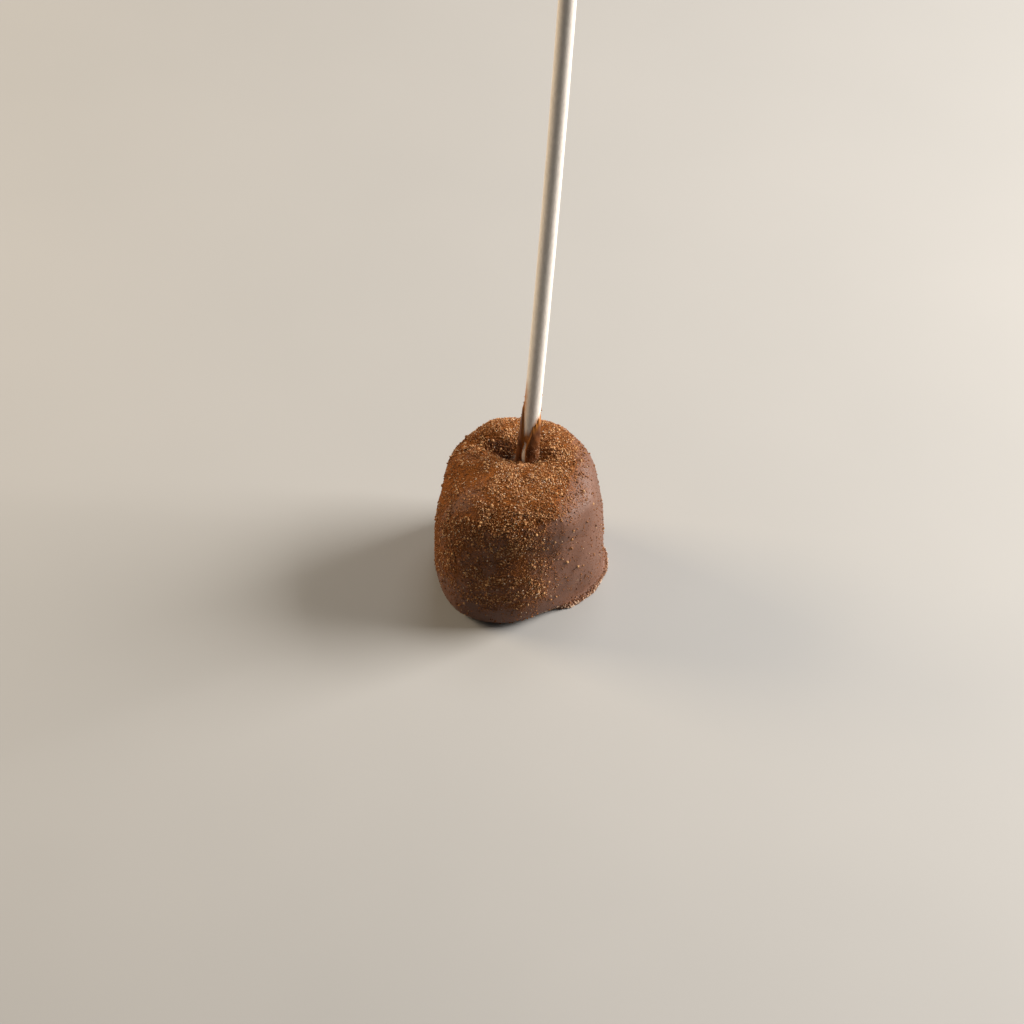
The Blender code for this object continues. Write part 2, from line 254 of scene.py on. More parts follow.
def bumps(points, kind):
    """How far each point of the skin is lifted by one kind of bump."""
    size, seed, height = kind
    return noise_at(points, size * MM, seed) * height * MM


def vectors_of(mesh, key):
    """One vector for each corner of the mesh: its place or its normal."""
    out = np.empty(len(mesh.vertices) * 3)
    mesh.vertices.foreach_get(key, out)
    return out.reshape(-1, 3)


def points_of(mesh):
    return vectors_of(mesh, "co")


def normals_of(mesh):
    return vectors_of(mesh, "normal")


def move_to(mesh, points):
    mesh.vertices.foreach_set("co", points.ravel())
    mesh.update()


def add_object(name, data):
    """A new object in the scene that shows a mesh, a camera or a light."""
    obj = bpy.data.objects.new(name, data)
    bpy.context.scene.collection.objects.link(obj)
    return obj


def mesh_object(name, points, faces):
    mesh = bpy.data.meshes.new(name)
    mesh.from_pydata(points.tolist(), [], faces)
    mesh.update()
    return add_object(name, mesh)


def set_attribute(mesh, name, values):
    """Give each corner of the mesh a number that the materials can read."""
    attribute = mesh.attributes.new(name, "FLOAT", "POINT")
    attribute.data.foreach_set("value", np.asarray(values, np.float32))


def read_attribute(mesh, name):
    values = np.empty(len(mesh.vertices), np.float32)
    mesh.attributes[name].data.foreach_get("value", values)
    return values


def keep(obj, slot, *nodes):
    """The piece rides on the one body and stands for the nodes named, which are hidden; the slot is
    not used.
    """
    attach(obj, "root")
    if nodes:
        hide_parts(*nodes)
    return obj


# ---- the stick's centre line, read from its node -----------------------------------------------
stick_points = points_of(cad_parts[STICK].data)
LINE_X = np.polyfit(stick_points[:, 2], stick_points[:, 0], 2)
LINE_Y = np.polyfit(stick_points[:, 2], stick_points[:, 1], 2)
STICK_LOW = float(stick_points[:, 2].min())
STICK_HIGH = float(stick_points[:, 2].max())


def stick_centre(height):
    """The point of the stick's centre line at each height."""
    height = np.asarray(height, float)
    return np.stack([np.polyval(LINE_X, height), np.polyval(LINE_Y, height), height], -1)


def stick_axes(height):
    """Two unit vectors across the stick at each height, the first towards +X."""
    slope = np.stack(
        [
            np.polyval(np.polyder(LINE_X), height),
            np.polyval(np.polyder(LINE_Y), height),
            np.ones_like(height),
        ],
        -1,
    )
    along = slope / np.linalg.norm(slope, axis=-1, keepdims=True)
    side = np.cross(np.array([0.0, 1.0, 0.0]), along)
    side /= np.linalg.norm(side, axis=-1, keepdims=True)
    return side, np.cross(along, side)


def from_stick(points):
    """Distance from the stick's centre line and direction round it, for each point."""
    away = points - stick_centre(points[:, 2])
    return np.hypot(away[:, 0], away[:, 1]), np.arctan2(away[:, 1], away[:, 0])


def tube(name, heights, angles, radii):
    """Closed skin round the stick's line: radii[i, j] at heights[i, j] and angles[j]."""
    rings, sides = radii.shape
    side, across = stick_axes(heights)
    ray = np.cos(angles)[None, :, None] * side + np.sin(angles)[None, :, None] * across
    points = stick_centre(heights) + ray * radii[..., None]
    low, high = points[0].mean(0), points[-1].mean(0)
    points = np.concatenate([points.reshape(-1, 3), [low, high]])
    ring, step = np.meshgrid(np.arange(rings - 1), np.arange(sides), indexing="ij")
    after = (step + 1) % sides
    a, b = ring * sides + step, ring * sides + after
    wall = np.stack([a, b, b + sides, a + sides], -1).reshape(-1, 4)
    turn = np.arange(sides)
    following = (turn + 1) % sides
    last = (rings - 1) * sides
    foot = np.stack([np.full(sides, rings * sides), following, turn], -1)
    head = np.stack([np.full(sides, rings * sides + 1), last + turn, last + following], -1)
    return mesh_object(name, points, wall.tolist() + foot.tolist() + head.tolist())


# ---- where the chocolate climbs the stick ------------------------------------------------------
def climb(angle):
    """Height above the entry that the chocolate reaches in each direction."""
    beside = np.abs(turn_from(angle, LEFT_TONGUE[0])) / LEFT_TONGUE[1]
    left = LEFT_TONGUE[2] * np.exp(-(beside**1.5))
    away = np.abs(turn_from(angle, RIGHT_TONGUE[0])) / RIGHT_TONGUE[1]
    right = RIGHT_TONGUE[2] * np.clip(1 - away**3, 0, 1)
    return np.maximum(left, right)


def soaked_climb(angle):
    """Height above the entry up to which the paper between the tongues is stained through."""
    return SOAKED[2] * lobe(turn_from(angle, SOAKED[0]), SOAKED[1])


def slit(angle, rise):
    """1 inside the bare slit at the front of the stick, falling to 0 away from it."""
    wander = 3 * np.sin(rise / (1.1 * MM))
    half = SLIT[1] * (1 - 0.7 * smoothstep(0.3 * SLIT[2], SLIT[2], rise))
    away = np.abs(turn_from(angle, SLIT[0]) + wander) - half
    inside = 1 - np.sqrt(np.clip(away / SLIT_BLUR, 0, 1))
    return inside * (1 - smoothstep(SLIT[2] * 0.85, SLIT[2] * 1.15, rise))


# ---- the coating -------------------------------------------------------------------------------
def relaxed(points, edges, share):
    """Each point moved by a share of the way to the mean of its neighbours."""
    a, b = edges[:, 0], edges[:, 1]
    count = len(points)
    degree = np.bincount(edges.ravel(), minlength=count)
    total = np.empty_like(points)
    for axis in range(3):
        to_a = np.bincount(a, points[b, axis], count)
        to_b = np.bincount(b, points[a, axis], count)
        total[:, axis] = to_a + to_b
    return points + (total / degree[:, None] - points) * share


def smoothed(points, edges, rounds):
    """Smoothed there and back, so that nothing shrinks."""
    for _ in range(rounds):
        points = relaxed(points, edges, 0.5)
        points = relaxed(points, edges, -0.52)
    return points


def flattened(points, edges, rounds):
    """Smoothed one way only, which wears small bumps down."""
    for _ in range(rounds):
        points = relaxed(points, edges, 0.7)
    return points


def crumb_peaks(raw, flat, normals):
    """Indices of the tips of the largest crumbs, which stand out from the flattened skin."""
    lift = ((raw - flat) * normals).sum(1)
    away, _ = from_stick(raw)
    lift[(away < PLUG_RADIUS + PEAK_CLEARANCE) | (raw[:, 2] < PEAK_LOWEST)] = 0
    peaks = []
    while lift.max() > PEAK_LEAST:
        tip = int(lift.argmax())
        peaks.append(tip)
        lift[np.linalg.norm(raw - raw[tip], axis=1) < PEAK_SPACING] = 0
    return peaks


def remeshed_coat():
    """The coated solid with its socket and collar closed, remeshed finely."""
    shape = bmesh.new()
    shape.from_mesh(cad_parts[COAT].data)
    bmesh.ops.remove_doubles(shape, verts=shape.verts, dist=WELD_REACH)
    upper = [v for v in shape.verts if v.co.z > PLUG_LOWEST]
    away, _ = from_stick(np.array([v.co for v in upper]))
    collar = [v for v, distance in zip(upper, away) if distance < PLUG_RADIUS]
    bmesh.ops.delete(shape, geom=collar, context="VERTS")
    rim = [edge for edge in shape.edges if edge.is_boundary]
    bmesh.ops.holes_fill(shape, edges=rim, sides=0)
    bmesh.ops.triangulate(shape, faces=shape.faces)
    mesh = bpy.data.meshes.new("blank")
    shape.to_mesh(mesh)
    shape.free()
    blank = add_object("blank", mesh)
    remesh = blank.modifiers.new("fine", "REMESH")
    remesh.mode = "VOXEL"
    remesh.voxel_size = SKIN_GRID
    graph = bpy.context.evaluated_depsgraph_get()
    skin = bpy.data.meshes.new_from_object(blank.evaluated_get(graph))
    bpy.data.objects.remove(blank, do_unlink=True)
    return skin


def coat_skin():
    """The remeshed coat, smoothed, and the tips of its largest crumbs, which are worn off it."""
    skin = remeshed_coat()
    edges = np.empty(len(skin.edges) * 2, np.int64)
    skin.edges.foreach_get("vertices", edges)
    edges = edges.reshape(-1, 2)
    raw = points_of(skin)
    soft = smoothed(raw, edges, SOFT_ROUNDS)
    flat = flattened(soft, edges, FLAT_ROUNDS)
    move_to(skin, flat)
    peaks = crumb_peaks(raw, flat, normals_of(skin))
    beside = np.min([np.linalg.norm(soft - raw[index], axis=1) for index in peaks], axis=0)
    share = lobe(beside, PEAK_REACH)[:, None]
    move_to(skin, soft * (1 - share) + flat * share)
    return skin, raw[peaks]


def from_fold(points):
    """Signed distance behind the fold's line, seen from above, and share of the way along it."""
    line = np.array(FOLD_FOOT) - FOLD_HEAD
    along = np.clip((points[:, :2] - FOLD_HEAD) @ line / (line @ line), 0, 1)
    offset = points[:, :2] - FOLD_HEAD - along[:, None] * line
    return np.linalg.norm(offset, axis=1) * np.sign(offset[:, 1]), along


def wall_patch(angle, height, patch):
    """How strongly a patch of the wall shows at each spot, from 0 to its share."""
    share, direction, spread, low, high = patch
    return share * lobe(turn_from(angle, direction), spread) * smoothstep(low, high, height)


def dust_cover(points, normals, hollow):
    """How thickly each spot carries grains, and fine powder, 0 to 1 each; less in the painted shade
    of the fold.
    """
    angle = np.arctan2(points[:, 1], points[:, 0])
    x, y, height = points.T / MM
    radius = np.hypot(x, y)
    up = smoothstep(0.42, 0.85, normals[:, 2]) * smoothstep(19, 25, height)
    right_edge = lobe(turn_from(angle, RIGHT), 50) * smoothstep(8.5, 15, radius)
    left_slope = smoothstep(4, 9, -x) * (1 - smoothstep(1, 7, y))
    top = up * (1 - 0.92 * right_edge) * (1 - 0.62 * left_slope)
    front = 0.72 * lobe(turn_from(angle, FRONT), 29) * (0.1 + 0.9 * smoothstep(3, 11, height))
    waist = 0.4 * lobe(turn_from(angle, FRONT - 10), 30) * lobe(height - 18.5, 3.5)
    left = wall_patch(angle, height, LEFT_GRAINS)
    back = wall_patch(angle, height, BACK_GRAINS)
    corner = wall_patch(angle, height, CORNER_GRAINS)
    side = (np.clip(front - waist, 0, 1) + left + back + corner) * (1 - 0.8 * right_edge)
    patches = 0.15 * noise_at(points, 2.2 * MM, 5) + 0.13 * noise_at(points, 6 * MM, 6)
    grains = np.clip(np.maximum(top, side) * (1 + 2.2 * patches) + 0.3 * patches, 0, 1)
    drift = height + 14 * patches
    film = wall_patch(angle, drift, LEFT_POWDER)
    belly = wall_patch(angle, drift, BELLY_POWDER)
    cheek = wall_patch(angle, drift, CORNER_POWDER)
    shoulder = 0.6 * up * (1 - 0.75 * right_edge)
    rim = 0.32 * lobe(turn_from(angle, RIGHT), 60) * (1 - smoothstep(0.9, 1.5, height))
    powder = np.maximum.reduce([film, belly, top, 0.8 * back, shoulder, cheek, rim])
    # painted shade: grains and powder are thinned in the fold so that it looks darker
    return grains * (1 - 0.8 * hollow), np.clip(powder + patches - 0.9 * hollow, 0, 1)


def make_coat():
    """The coating: the skin with its dimple and fold pressed in, and uneven where it's dusted."""
    skin, tips = coat_skin()
    points = points_of(skin)
    away, _ = from_stick(points)
    above = points[:, 2] > TOP_LOWEST
    dimple = DIMPLE_DEPTH * lobe(away, DIMPLE_REACH)
    beside, along = from_fold(points)
    fold = FOLD_DEPTH * lobe(beside, np.where(beside > 0, FOLD_STEEP, FOLD_REACH))
    fold = fold * (1 - FOLD_WEAKENING * along) * (1 - smoothstep(FOLD_FADE, 1.0, along))
    fold = fold + LIP_DROP * lobe(beside - LIP_PLACE, LIP_REACH) * (along > 0.02)
    points[:, 2] -= above * np.maximum(dimple, fold)
    points[:, 2] = np.where(points[:, 2] < FLOOR_SNAP, 0, points[:, 2])
    move_to(skin, points)
    normals = normals_of(skin)
    # painted shade in the fold, behind its line: it darkens the coat's colour and thins the dusting
    # there
    hollow = above * smoothstep(0.3, 0.8, fold / FOLD_DEPTH) * (beside > FOLD_SHADE_FRONT)
    cover, powder = dust_cover(points, normals, hollow)
    clear = smoothstep(0.2 * MM, 1.5 * MM, points[:, 2])
    grain = bumps(points, FINE_BUMPS) + bumps(points, COARSE_BUMPS)
    soft = bumps(points, BROAD_BUMPS)
    points = points + normals * ((grain * cover + soft) * clear)[:, None]
    move_to(skin, points)
    set_attribute(skin, "dust", cover)
    set_attribute(skin, "powder", powder)
    set_attribute(skin, "hollow", hollow)
    skin.shade_smooth()
    return add_object("chocolate_coat", skin), tips


def make_sleeve():
    """Chocolate that climbed the stick: a film whose edge dives into the stick where it ends."""
    sides, rings = SLEEVE_GRID
    angles = np.linspace(-math.pi, math.pi, sides, endpoint=False)
    rise = np.linspace(-SLEEVE_LOW, SLEEVE_HIGH, rings)[:, None] * np.ones(sides)
    turn = np.ones((rings, 1)) * angles
    reach = climb(turn) + 0.35 * MM * np.sin(turn * 9 + 1) + 0.25 * MM * np.sin(turn * 17)
    left = lobe(turn_from(turn, LEFT_TONGUE[0]), 60)
    foot = 1 - smoothstep(2 * MM, 16 * MM, rise)
    body = (0.26 + 0.26 * left * foot + 0.14 * foot) * MM
    edge = np.sqrt(np.clip((reach - rise) / FILM_EDGE, 0, 1))
    film = body * edge + (0.35 - 0.3 * left) * MM * lobe(np.maximum(rise, 0), 0.7 * MM)
    lumps = np.sin(turn * 5 + rise / MM) * np.sin(rise / (1.4 * MM) + turn * 3)
    film = (film + 0.05 * MM * lumps * edge) * (1 - slit(turn, rise))
    gone = (reach < rise) | (slit(turn, rise) > 0.98)
    radii = STICK_RADIUS + np.where(gone, SUNK, film)
    sleeve = tube("chocolate_sleeve", ENTRY_HEIGHT + rise, angles, radii)
    thick = np.clip(film / (0.3 * MM), 0, 1) * smoothstep(-0.3 * MM, 3.0 * MM, reach - rise)
    thick = thick * smoothstep(0, 0.5, 1 - slit(turn, rise))
    set_attribute(sleeve.data, "thick", np.append(thick.ravel(), [1, 1]))
    sleeve.data.shade_smooth()
    return sleeve


def make_stick():
    """Rolled paper: a faint lap seam along it, a slight waviness and softly rounded ends."""
    sides, rings = STICK_GRID
    angles = np.linspace(-math.pi, math.pi, sides, endpoint=False)
    heights = np.linspace(STICK_LOW, STICK_HIGH, rings)[:, None] * np.ones(sides)
    turn = np.ones((rings, 1)) * angles
    ends = np.minimum(heights - STICK_LOW, STICK_HIGH - heights)
    rounding = END_ROUNDING * (1 - smoothstep(0, END_REACH, ends))
    lap = SEAM_START + SEAM_TWIST * (heights - STICK_LOW)
    seam = SEAM_DEPTH * lobe(turn_from(turn, lap), 4)
    wave = 0.008 * MM * np.sin(heights / (3.1 * MM) + 2 * np.sin(turn))
    radii = STICK_RADIUS - PAPER_INSET - rounding - seam + wave
    stick = tube("rolled_paper_stick", heights, angles, radii)
    rise = heights - ENTRY_HEIGHT
    soaked = 1 - smoothstep(-1.2 * MM, 2.2 * MM, rise - soaked_climb(turn))
    halo = 0.8 * (1 - smoothstep(0, 2.4 * MM, rise - climb(turn)))
    beside = lobe(turn_from(turn, LEFT_TONGUE[0] + 6), 36)
    edge = beside * (1 - smoothstep(17 * MM, 24 * MM, rise))
    stain = np.maximum.reduce([soaked, halo, 0.9 * edge])
    stain = stain * (1 - smoothstep(0.2, 0.7, slit(turn, rise)))
    set_attribute(stick.data, "stain", np.append(stain.ravel(), [1, 0]))
    stick.data.shade_smooth()
    stick.data.set_sharp_from_angle(angle=math.radians(50))
    return stick


# ---- crumbs ------------------------------------------------------------------------------------
def crystal_mesh(name, centres, sizes, draw, coarse=False, lightness=1.0):
    """One joined mesh of small irregular crystals: octahedra, or icosahedra for the larger ones."""
    if coarse:
        shape = bmesh.new()
        bmesh.ops.create_icosphere(shape, subdivisions=1, radius=1)
        corners = np.array([v.co for v in shape.verts])
        triangles = np.array([[v.index for v in face.verts] for face in shape.faces])
        shape.free()
    else:
        corners = [[1, 0, 0], [0, 1, 0], [-1, 0, 0], [0, -1, 0], [0, 0, 1], [0, 0, -1]]
        corners = np.array(corners, float)
        ring = [(0, 1), (1, 2), (2, 3), (3, 0)]
        triangles = np.array([(a, b, 4) for a, b in ring] + [(b, a, 5) for a, b in ring])
    count = len(centres)
    spin = draw.normal(size=(count, 4))
    spin /= np.linalg.norm(spin, axis=1, keepdims=True)
    w, x, y, z = spin.T
    turn = np.stack(
        [
            np.stack([1 - 2 * (y * y + z * z), 2 * (x * y - z * w), 2 * (x * z + y * w)], -1),
            np.stack([2 * (x * y + z * w), 1 - 2 * (x * x + z * z), 2 * (y * z - x * w)], -1),
            np.stack([2 * (x * z - y * w), 2 * (y * z + x * w), 1 - 2 * (x * x + y * y)], -1),
        ],
        1,
    )
    stretch = draw.uniform(0.7, 1.25, (count, 1, 3))
    jitter = draw.uniform(0.78, 1.15, (count, len(corners), 1))
    local = corners[None] * jitter * stretch * sizes[:, None, None]
    points = np.einsum("nij,nkj->nki", turn, local) + centres[:, None]
    faces = triangles[None] + (np.arange(count) * len(corners))[:, None, None]
    obj = mesh_object(name, points.reshape(-1, 3), faces.reshape(-1, 3).tolist())
    tint = draw.uniform(0, 1, count) * lightness
    set_attribute(obj.data, "tint", np.repeat(tint, len(corners)))
    return obj


def scatter(skin, count, weight, draw):
    """Random spots on a skin, thick where a face's weight is high: place, normal and weight."""
    skin.calc_loop_triangles()
    triangles = np.empty(len(skin.loop_triangles) * 3, np.int64)
    skin.loop_triangles.foreach_get("vertices", triangles)
    triangles = triangles.reshape(-1, 3)
    points = points_of(skin)
    a, b, c = points[triangles[:, 0]], points[triangles[:, 1]], points[triangles[:, 2]]
    cross = np.cross(b - a, c - a)
    area = np.linalg.norm(cross, axis=1)
    heavy = weight[triangles].mean(1)
    chance = area * heavy
    picked = draw.choice(len(triangles), count, p=chance / chance.sum())
    u, v = draw.uniform(size=(2, count))
    over = u + v > 1
    u, v = np.where(over, 1 - u, u)[:, None], np.where(over, 1 - v, v)[:, None]
    spots = a[picked] + (b - a)[picked] * u + (c - a)[picked] * v
    return spots, (cross / area[:, None])[picked], heavy[picked]


def make_grains(coat):
    """The dusting: each kind of grain scattered on the coat, thick where it is dusted."""
    skin = coat.data
    cover = read_attribute(skin, "dust")
    powder = read_attribute(skin, "powder")
    points = points_of(skin)
    off_floor = smoothstep(0.4 * MM, 1.2 * MM, points[:, 2])
    patchy = 0.56 + 0.75 * noise_at(points, 2.6 * MM, 9) + 0.35 * noise_at(points, 1.1 * MM, 10)
    dusted = (np.clip(cover**1.4 * patchy, 0.04 * cover, 1) + 0.012) * off_floor
    powdered = (powder**1.5 + 0.08) * off_floor
    # Name, count, smallest and largest size in mm, whether coarse, seed, and where they lie.
    kinds = (
        ("golden_grains", 16000, 0.09, 0.23, False, 21, dusted),
        ("fine_grains", 23000, 0.05, 0.11, False, 25, dusted),
        ("powder_specks", 24000, 0.045, 0.09, False, 26, powdered),
        ("pale_crystals", 2600, 0.07, 0.18, False, 22, dusted),
        ("dark_crumbs", 1500, 0.08, 0.20, True, 23, dusted + 0.02 * off_floor),
        ("large_crumbs", 420, 0.18, 0.36, True, 24, dusted),
    )
    made = []
    for name, count, small, large, coarse, seed, weight in kinds:
        draw = np.random.default_rng(seed)
        spots, normals, heavy = scatter(skin, count, weight, draw)
        sizes = (small + (large - small) * draw.uniform(0, 1, count) ** 1.8) * MM
        away, _ = from_stick(spots)
        free = (away > STICK_RADIUS + 0.3 * MM) & (spots[:, 2] > sizes * 1.2)
        spots, normals, sizes = spots[free], normals[free], sizes[free]
        centres = spots + normals * sizes[:, None] * 0.35
        lightness = 0.35 + 0.65 * smoothstep(0, 0.3, heavy[free])
        made.append(crystal_mesh(name, centres, sizes, draw, coarse, lightness))
    return made


def make_set_crumbs(coat, tips):
    """The largest crumbs, each where one stands on the coated solid, and the lone ones."""
    draw = np.random.default_rng(SEEDS["set_crumbs"])
    inward = INNER_POINT - tips
    inward /= np.linalg.norm(inward, axis=1, keepdims=True)
    sizes = draw.uniform(*SET_CRUMB_SIZES, len(tips)) * MM
    points = points_of(coat.data)
    angle = np.arctan2(points[:, 1], points[:, 0])
    lone = []
    for direction, height, _ in LONE_CRUMBS:
        miss = np.hypot(turn_from(angle, direction) * 0.3, points[:, 2] / MM - height)
        lone.append(points[miss.argmin()])
    centres = np.concatenate([tips + inward * sizes[:, None] * 0.9, lone])
    sizes = np.append(sizes, [size * MM for _, _, size in LONE_CRUMBS])
    return crystal_mesh("set_crumbs", centres, sizes, draw, True)


def make_stick_crumbs(sleeve):
    """Grains on the lower part of the sleeve, and the few crumbs stuck higher up the stick."""
    points = points_of(sleeve.data)
    away, turn = from_stick(points)
    rise = points[:, 2] - ENTRY_HEIGHT
    thick = read_attribute(sleeve.data, "thick")
    sides = lobe(turn_from(turn, -10), 70) + 0.3 * lobe(turn_from(turn, 180), 50)
    weight = (1 - smoothstep(0, 9 * MM, rise)) ** 2 * (thick > 0.5) * sides * (away > STICK_RADIUS)
    draw = np.random.default_rng(SEEDS["stick_crumbs"])
    spots, normals, _ = scatter(sleeve.data, SLEEVE_CRUMB_COUNT, weight + 1e-6, draw)
    sizes = (0.05 + 0.09 * draw.uniform(0, 1, len(spots)) ** 2) * MM
    spots = spots + normals * sizes[:, None] * 0.3
    stuck = np.array(STUCK_CRUMBS)
    heights = ENTRY_HEIGHT + stuck[:, 1] * MM
    side, across = stick_axes(heights)
    way = np.radians(stuck[:, 0])[:, None]
    ray = np.cos(way) * side + np.sin(way) * across
    high = stick_centre(heights) + ray * (STICK_RADIUS + stuck[:, 2:3] * MM)
    sizes = np.append(sizes, stuck[:, 3] * MM)
    return crystal_mesh("stick_crumbs", np.concatenate([spots, high]), sizes, draw, True)


def make_foot_crumbs(coat):
    """The crumbly rim of chocolate that set round the foot: brown, with pale crumbs at its edge."""
    points = points_of(coat.data)
    low = points[(points[:, 2] > FOOT_HEIGHTS[0]) & (points[:, 2] < FOOT_HEIGHTS[1])]
    angle = np.degrees(np.arctan2(low[:, 1], low[:, 0]))
    radius = np.hypot(low[:, 0], low[:, 1])
    bins = np.round(angle / 1.5).astype(int)
    edge = {step: radius[bins == step].max() for step in np.unique(bins)}
    inset = np.array([edge[step] for step in bins]) - radius
    rim = smoothstep(-100, -45, angle) * (1 - smoothstep(38, 50, angle))
    clumps = np.clip(0.55 + 0.9 * noise_at(low, 1.1 * MM, 12), 0.05, 1)
    chance = rim * clumps * (0.3 + lobe(inset, 0.3 * MM)) * (inset < 0.9 * MM)
    draw = np.random.default_rng(SEEDS["foot_crumbs"])
    picked = draw.choice(len(low), FOOT_CRUMB_COUNT, p=chance / chance.sum())
    outer = lobe(inset[picked], 0.22 * MM) * draw.uniform(0.5, 1, FOOT_CRUMB_COUNT)
    big = 1 + 0.7 * lobe(angle[picked] + 36, 16)
    sizes = (0.06 + 0.13 * draw.uniform(0, 1, FOOT_CRUMB_COUNT) ** 2.5) * big * MM
    spots = low[picked] + draw.normal(size=(FOOT_CRUMB_COUNT, 3)) * 0.06 * MM
    spots[:, :2] *= (1 - 0.35 * sizes / radius[picked])[:, None]
    spots[:, 2] = np.maximum(spots[:, 2], sizes * 1.3)
    return crystal_mesh("foot_crumbs", spots, sizes, draw, True, 0.25 + 0.75 * outer)


# ---- materials ---------------------------------------------------------------------------------
class Look:
    """A new material, with a short way to add each kind of node that is used here."""

    # Places of the colour sockets in a Mix node.
    MIX_SHARE, MIX_FIRST, MIX_SECOND, MIX_RESULT = 0, 6, 7, 2

    def __init__(self, name):
        self.material = bpy.data.materials.new(name)
        self.material.use_nodes = True
        self.nodes = self.material.node_tree.nodes
        self.links = self.material.node_tree.links
        self.shader = self.nodes["Principled BSDF"]
        self.where = self.nodes.new("ShaderNodeTexCoord").outputs["Object"]

    def feed(self, socket, value):
        """Link a node's output to the socket, or set the socket to a colour or a number."""
        if isinstance(value, bpy.types.NodeSocket):
            self.links.new(value, socket)
        elif isinstance(value, tuple):
            socket.default_value = (*value, 1)
        else:
            socket.default_value = value

    def set(self, name, value):
        self.feed(self.shader.inputs[name], value)

    def attribute(self, name):
        node = self.nodes.new("ShaderNodeAttribute")
        node.attribute_name = name
        return node.outputs["Fac"]

    def noise(self, scale, detail=3.0, roughness=0.55, where=None):
        node = self.nodes.new("ShaderNodeTexNoise")
        self.feed(node.inputs["Vector"], where or self.where)
        self.feed(node.inputs["Scale"], scale)
        self.feed(node.inputs["Detail"], detail)
        self.feed(node.inputs["Roughness"], roughness)
        return node.outputs["Fac"]

    def ramp(self, value, *stops):
        """Colours, or greys given as plain numbers, at places from 0 to 1."""
        node = self.nodes.new("ShaderNodeValToRGB")
        elements = node.color_ramp.elements
        while len(elements) < len(stops):
            elements.new(0.5)
        for element, (place, colour) in zip(elements, stops):
            element.position = place
            shade = colour if isinstance(colour, tuple) else (colour, colour, colour)
            element.color = (*shade, 1)
        self.feed(node.inputs["Fac"], value)
        return node.outputs["Color"]

    def mix(self, share, first, second, blend="MIX"):
        node = self.nodes.new("ShaderNodeMix")
        node.data_type = "RGBA"
        node.blend_type = blend
        self.feed(node.inputs[self.MIX_SHARE], share)
        self.feed(node.inputs[self.MIX_FIRST], first)
        self.feed(node.inputs[self.MIX_SECOND], second)
        return node.outputs[self.MIX_RESULT]

    def math(self, operation, *values):
        node = self.nodes.new("ShaderNodeMath")
        node.operation = operation
        for socket, value in zip(node.inputs, values):
            self.feed(socket, value)
        return node.outputs[0]

    def bump(self, height, distance, strength, normal=None):
        node = self.nodes.new("ShaderNodeBump")
        self.feed(node.inputs["Strength"], strength)
        self.feed(node.inputs["Distance"], distance)
        self.feed(node.inputs["Height"], height)
        if normal is not None:
            self.feed(node.inputs["Normal"], normal)
        return node.outputs["Normal"]


def coat_material(name, gloss):
    """Milk chocolate with pinholes and flecks, and painted shade in the fold, under orange powder
    where there is any.
    """
    look = Look(name)
    broad = look.noise(220, 3)
    fine = look.noise(2600, 4, 0.7)
    specks = look.noise(4200, 2, 0.5)
    chocolate = look.mix(broad, DARK_CHOCOLATE, MILK_CHOCOLATE)
    cells = look.nodes.new("ShaderNodeTexVoronoi")
    look.feed(cells.inputs["Vector"], look.where)
    look.feed(cells.inputs["Scale"], 1700)
    holes = look.ramp(cells.outputs["Distance"], (0.12, 0.85), (0.24, 0.0))
    chocolate = look.mix(holes, chocolate, PINHOLE_AND_FOLD_SHADE)
    flecks = look.ramp(specks, (0.50, 0.0), (0.68, 0.45))
    chocolate = look.mix(flecks, chocolate, PINHOLE_AND_FOLD_SHADE)
    # painted shade: the fold is darkened towards the pinhole colour
    hollow = look.ramp(look.attribute("hollow"), (0.1, 0.0), (0.9, 0.9))
    chocolate = look.mix(hollow, chocolate, PINHOLE_AND_FOLD_SHADE)
    grainy = look.ramp(fine, (0.35, 0.0), (0.65, 1.0))
    powder = look.mix(grainy, POWDER_SHADE, POWDER)
    uneven = look.math("MULTIPLY", fine, 0.8)
    edge = look.math("MULTIPLY_ADD", look.attribute("powder"), 0.7, uneven)
    share = look.ramp(edge, (0.50, 0.0), (0.98, 1.0))
    look.set("Base Color", look.mix(share, chocolate, powder))
    look.set("Roughness", look.ramp(share, (0.0, 0.54), (1.0, 0.85)))
    look.set("Specular IOR Level", gloss)
    smooth = look.bump(look.noise(700, 3), 0.06 * MM, 0.5)
    height = look.math("MULTIPLY", specks, share)
    look.set("Normal", look.bump(height, 0.25 * MM, 0.9, smooth))
    return look.material


def sleeve_material():
    """Dark set chocolate, thinning out to an orange stain."""
    look = Look("chocolate on the stick")
    chocolate = look.ramp(look.noise(500, 4), (0.3, SLEEVE_DARK), (0.7, SLEEVE_LIGHT))
    solid = look.ramp(look.attribute("thick"), (0.0, 0.0), (0.85, 1.0))
    look.set("Base Color", look.mix(solid, STAIN, chocolate))
    look.set("Roughness", 0.42)
    look.set("Specular IOR Level", 0.25)
    look.set("Normal", look.bump(look.noise(1500, 3), 0.1 * MM, 0.4))
    return look.material


def grain_material(name):
    """Each grain has its own tint, faintly mottled."""
    look = Look(name.replace("_", " "))
    colour = look.ramp(look.attribute("tint"), *GRAIN_COLOURS[name])
    shade = look.ramp(look.noise(5000, 2), (0.2, 0.75), (0.8, 1.0))
    look.set("Base Color", look.mix(1.0, colour, shade, "MULTIPLY"))
    look.set("Roughness", CRYSTAL_ROUGHNESS if name == "pale_crystals" else GRAIN_ROUGHNESS)
    look.set("Specular IOR Level", 0.2)
    return look.material


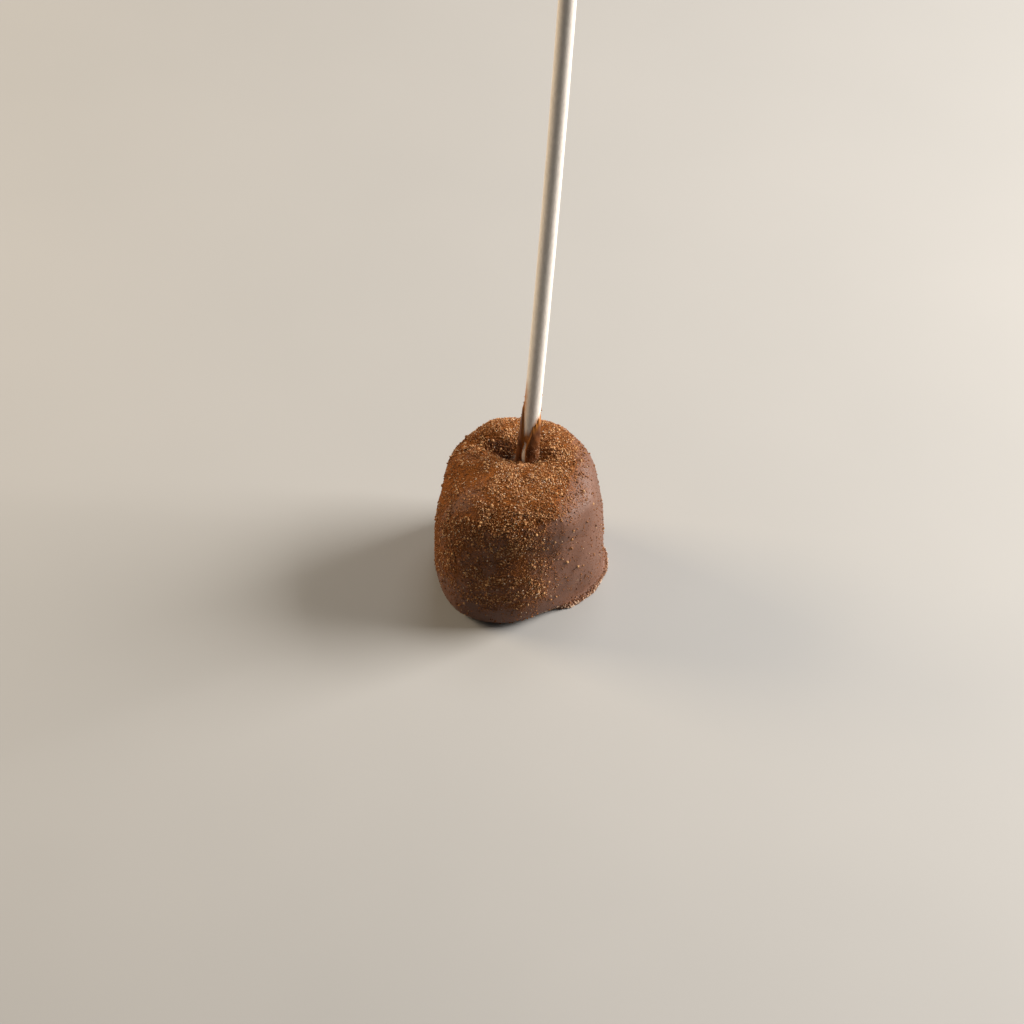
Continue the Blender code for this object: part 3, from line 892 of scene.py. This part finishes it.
def stick_material():
    """White rolled paper with fibres along it, stained orange next to the chocolate."""
    look = Look("rolled white paper")
    stretch = look.nodes.new("ShaderNodeMapping")
    stretch.inputs["Scale"].default_value = (1, 1, 0.35)
    look.feed(stretch.inputs["Vector"], look.where)
    fibre = look.noise(1800, 5, 0.65, stretch.outputs["Vector"])
    paper = look.ramp(fibre, (0.3, PAPER_SHADE), (0.7, PAPER))
    uneven = look.math("MULTIPLY_ADD", look.noise(900, 4, 0.6), 0.8, 0.6)
    soaked = look.math("MULTIPLY", look.attribute("stain"), uneven)
    stain = look.ramp(soaked, (0.1, 0.0), (0.95, 1.0))
    look.set("Base Color", look.mix(stain, paper, STAIN))
    look.set("Roughness", 0.8)
    look.set("Normal", look.bump(fibre, 0.05 * MM, 0.5))
    return look.material


# ---- floor, light and camera -------------------------------------------------------------------
def make_camera():
    """Looks down at the sweet from the front, rolled a little."""
    tilt, roll = math.radians(CAMERA_TILT), math.radians(CAMERA_ROLL)
    right = Vector((1, 0, 0))
    up = Vector((0, math.sin(tilt), math.cos(tilt)))
    forward = Vector((0, math.cos(tilt), -math.sin(tilt)))
    turned_right = right * math.cos(roll) + up * math.sin(roll)
    turned_up = up * math.cos(roll) - right * math.sin(roll)
    aim = right * CAMERA_SHIFT[0] + up * CAMERA_SHIFT[1]
    data = bpy.data.cameras.new("camera")
    data.lens = CAMERA_LENS
    data.sensor_width = CAMERA_SENSOR
    data.clip_start, data.clip_end = CAMERA_REACH
    camera = add_object("camera", data)
    matrix = Matrix((turned_right, turned_up, -forward)).transposed().to_4x4()
    matrix.translation = aim - forward * CAMERA_DISTANCE
    camera.matrix_world = matrix
    bpy.context.scene.camera = camera


def make_lights():
    """Square soft lights, each turned towards the sweet."""
    for name, place, side, power, colour in LIGHTS:
        data = bpy.data.lights.new(name, "AREA")
        data.shape = "SQUARE"
        data.size = side
        data.energy = power
        data.color = colour
        light = add_object(name, data)
        light.location = place
        light.rotation_euler = (LIGHT_AIM - Vector(place)).to_track_quat("-Z", "Y").to_euler()


def make_studio():
    """A plain pale floor under a dim, slightly warm sky, and the three soft lights."""
    corners = np.array([[-1, -1, 0], [1, -1, 0], [1, 1, 0], [-1, 1, 0]], float)
    floor = mesh_object("floor", corners * FLOOR_HALF_SIDE, [[0, 1, 2, 3]])
    look = Look("pale floor")
    look.set("Base Color", look.ramp(look.noise(9, 3), (0.3, FLOOR_DARK), (0.7, FLOOR_LIGHT)))
    look.set("Roughness", 0.7)
    floor.data.materials.append(look.material)
    world = bpy.data.worlds.new("studio")
    world.use_nodes = True
    sky = world.node_tree.nodes["Background"]
    sky.inputs["Color"].default_value = SKY_COLOUR
    sky.inputs["Strength"].default_value = SKY_STRENGTH
    bpy.context.scene.world = world
    make_lights()
    bpy.context.scene.view_settings.view_transform = "Standard"


# ---- the scene ---------------------------------------------------------------------------------
make_camera()
coat, tips = make_coat()
coat.data.materials.append(coat_material("bare milk chocolate", BARE_GLOSS))
coat.data.materials.append(coat_material("powdered milk chocolate", POWDERED_GLOSS))
powder = read_attribute(coat.data, "powder")
for face in coat.data.polygons:
    face.material_index = int(powder[face.vertices[0]] > POWDERED)
keep(coat, "chocolate_coating", COAT)

sleeve = make_sleeve()
sleeve.data.materials.append(sleeve_material())
keep(sleeve, "chocolate_coating")

stick = make_stick()
stick.data.materials.append(stick_material())
keep(stick, "white_paper", STICK)

pieces = make_grains(coat)
pieces += [make_set_crumbs(coat, tips), make_stick_crumbs(sleeve), make_foot_crumbs(coat)]
for grains in pieces:
    grains.data.materials.append(grain_material(grains.name))
    keep(grains, "chocolate_coating")

make_studio()
